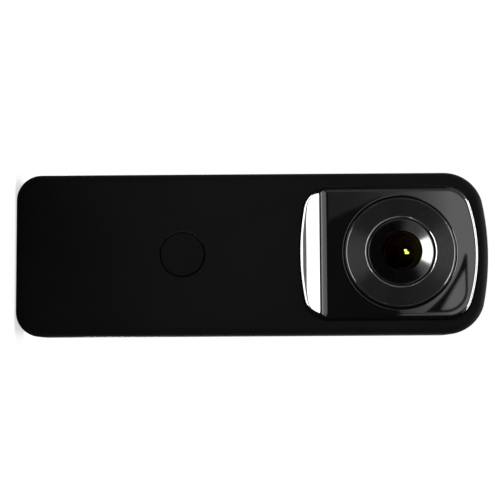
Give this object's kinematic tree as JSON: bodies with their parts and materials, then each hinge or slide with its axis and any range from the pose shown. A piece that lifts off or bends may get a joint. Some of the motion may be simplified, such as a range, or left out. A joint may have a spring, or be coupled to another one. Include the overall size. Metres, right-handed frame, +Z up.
{
  "type": "360 degree camera",
  "caption": "Slim upright stick camera with a fisheye lens on each broad face, a round shutter button and side keys, standing on its base over a tripod socket.",
  "frame": {"origin": "centre of the base, on the floor", "axes": "+Z up along the body towards the lens end, -Y out of the face with the shutter button, +X out of the side with the keys"},
  "size_m": [0.045, 0.0346, 0.131],
  "materials": {
    "shell_black": "soft-touch matte black, very fine grain",
    "key_black": "matte black rubberised key",
    "gloss_black": "piano black, polished",
    "ring_satin": "satin black anodised with fine turned grooves",
    "lens_glass": "coated lens glass with green and magenta tint",
    "seal_rubber": "matt black",
    "barrel_black": "matt black anodised",
    "inner_plastic": "black moulded plastic",
    "sensor_blue": "sensor package with cover window",
    "board_green": "solder mask",
    "pad_blue": "soft pad",
    "flex_amber": "polyimide film",
    "chassis_alloy": "die-cast, blasted",
    "bright_steel": "nickel plated",
    "battery_foil": "pouch foil",
    "light_clear": "frosted clear",
    "insert_brass": "turned",
    "card_black": "plain black"
  },
  "bodies": {
    "camera_body": {"front_shell": "shell_black", "rear_shell": "shell_black", "front_lens_plate": "gloss_black", "rear_lens_plate": "gloss_black", "front_lens_ring": "ring_satin", "rear_lens_ring": "ring_satin", "front_lens_cone": "gloss_black", "rear_lens_cone": "gloss_black", "front_dome_glass": "lens_glass", "rear_dome_glass": "lens_glass", "front_dust_seal": "seal_rubber", "rear_dust_seal": "seal_rubber", "front_lens_barrel": "barrel_black", "rear_lens_barrel": "barrel_black", "front_inner_lenses": "lens_glass", "rear_inner_lenses": "lens_glass", "front_lens_holder": "inner_plastic", "rear_lens_holder": "inner_plastic", "front_image_sensor": "sensor_blue", "rear_image_sensor": "sensor_blue", "front_sensor_board": "board_green", "rear_sensor_board": "board_green", "front_thermal_pad": "pad_blue", "rear_thermal_pad": "pad_blue", "front_sensor_flex": "flex_amber", "rear_sensor_flex": "flex_amber", "lens_chassis": "chassis_alloy", "main_board": "board_green", "processor_shield": "bright_steel", "board_chips": "inner_plastic", "wifi_antenna": "flex_amber", "battery": "battery_foil", "battery_pad": "pad_blue", "battery_lead": "flex_amber", "shutter_switch": "bright_steel", "side_switches": "bright_steel", "status_light_pipe": "light_clear", "tripod_socket": "insert_brass", "usb_port": "bright_steel", "card_socket": "bright_steel", "microphone": "bright_steel", "mic_boot": "seal_rubber", "shell_screws": "bright_steel", "lens_module_screws": "bright_steel", "board_screws": "bright_steel"},
    "shutter_button": {"shutter_button": "shell_black", "shutter_plunger": "inner_plastic"},
    "power_button": {"power_button": "key_black", "power_plunger": "inner_plastic"},
    "mode_button": {"mode_button": "key_black", "mode_plunger": "inner_plastic"},
    "memory_card": {"memory_card": "card_black"}
  },
  "joints": [
    {"name": "shutter_press", "type": "slide", "parent": "camera_body", "child": "shutter_button", "axis": [0, 1, 0], "range_m": [0, 0.0004], "stiffness_N_per_m": 1200, "springref_m": -0.0005},
    {"name": "power_press", "type": "slide", "parent": "camera_body", "child": "power_button", "axis": [-1, 0, 0], "range_m": [0, 0.0003], "stiffness_N_per_m": 1200, "springref_m": -0.0005},
    {"name": "mode_press", "type": "slide", "parent": "camera_body", "child": "mode_button", "axis": [-1, 0, 0], "range_m": [0, 0.0003], "stiffness_N_per_m": 1200, "springref_m": -0.0005},
    {"name": "card_slide", "type": "slide", "parent": "camera_body", "child": "memory_card", "axis": [-1, 0, 0], "range_m": [-0.0008, 0.0165]}
  ]
}
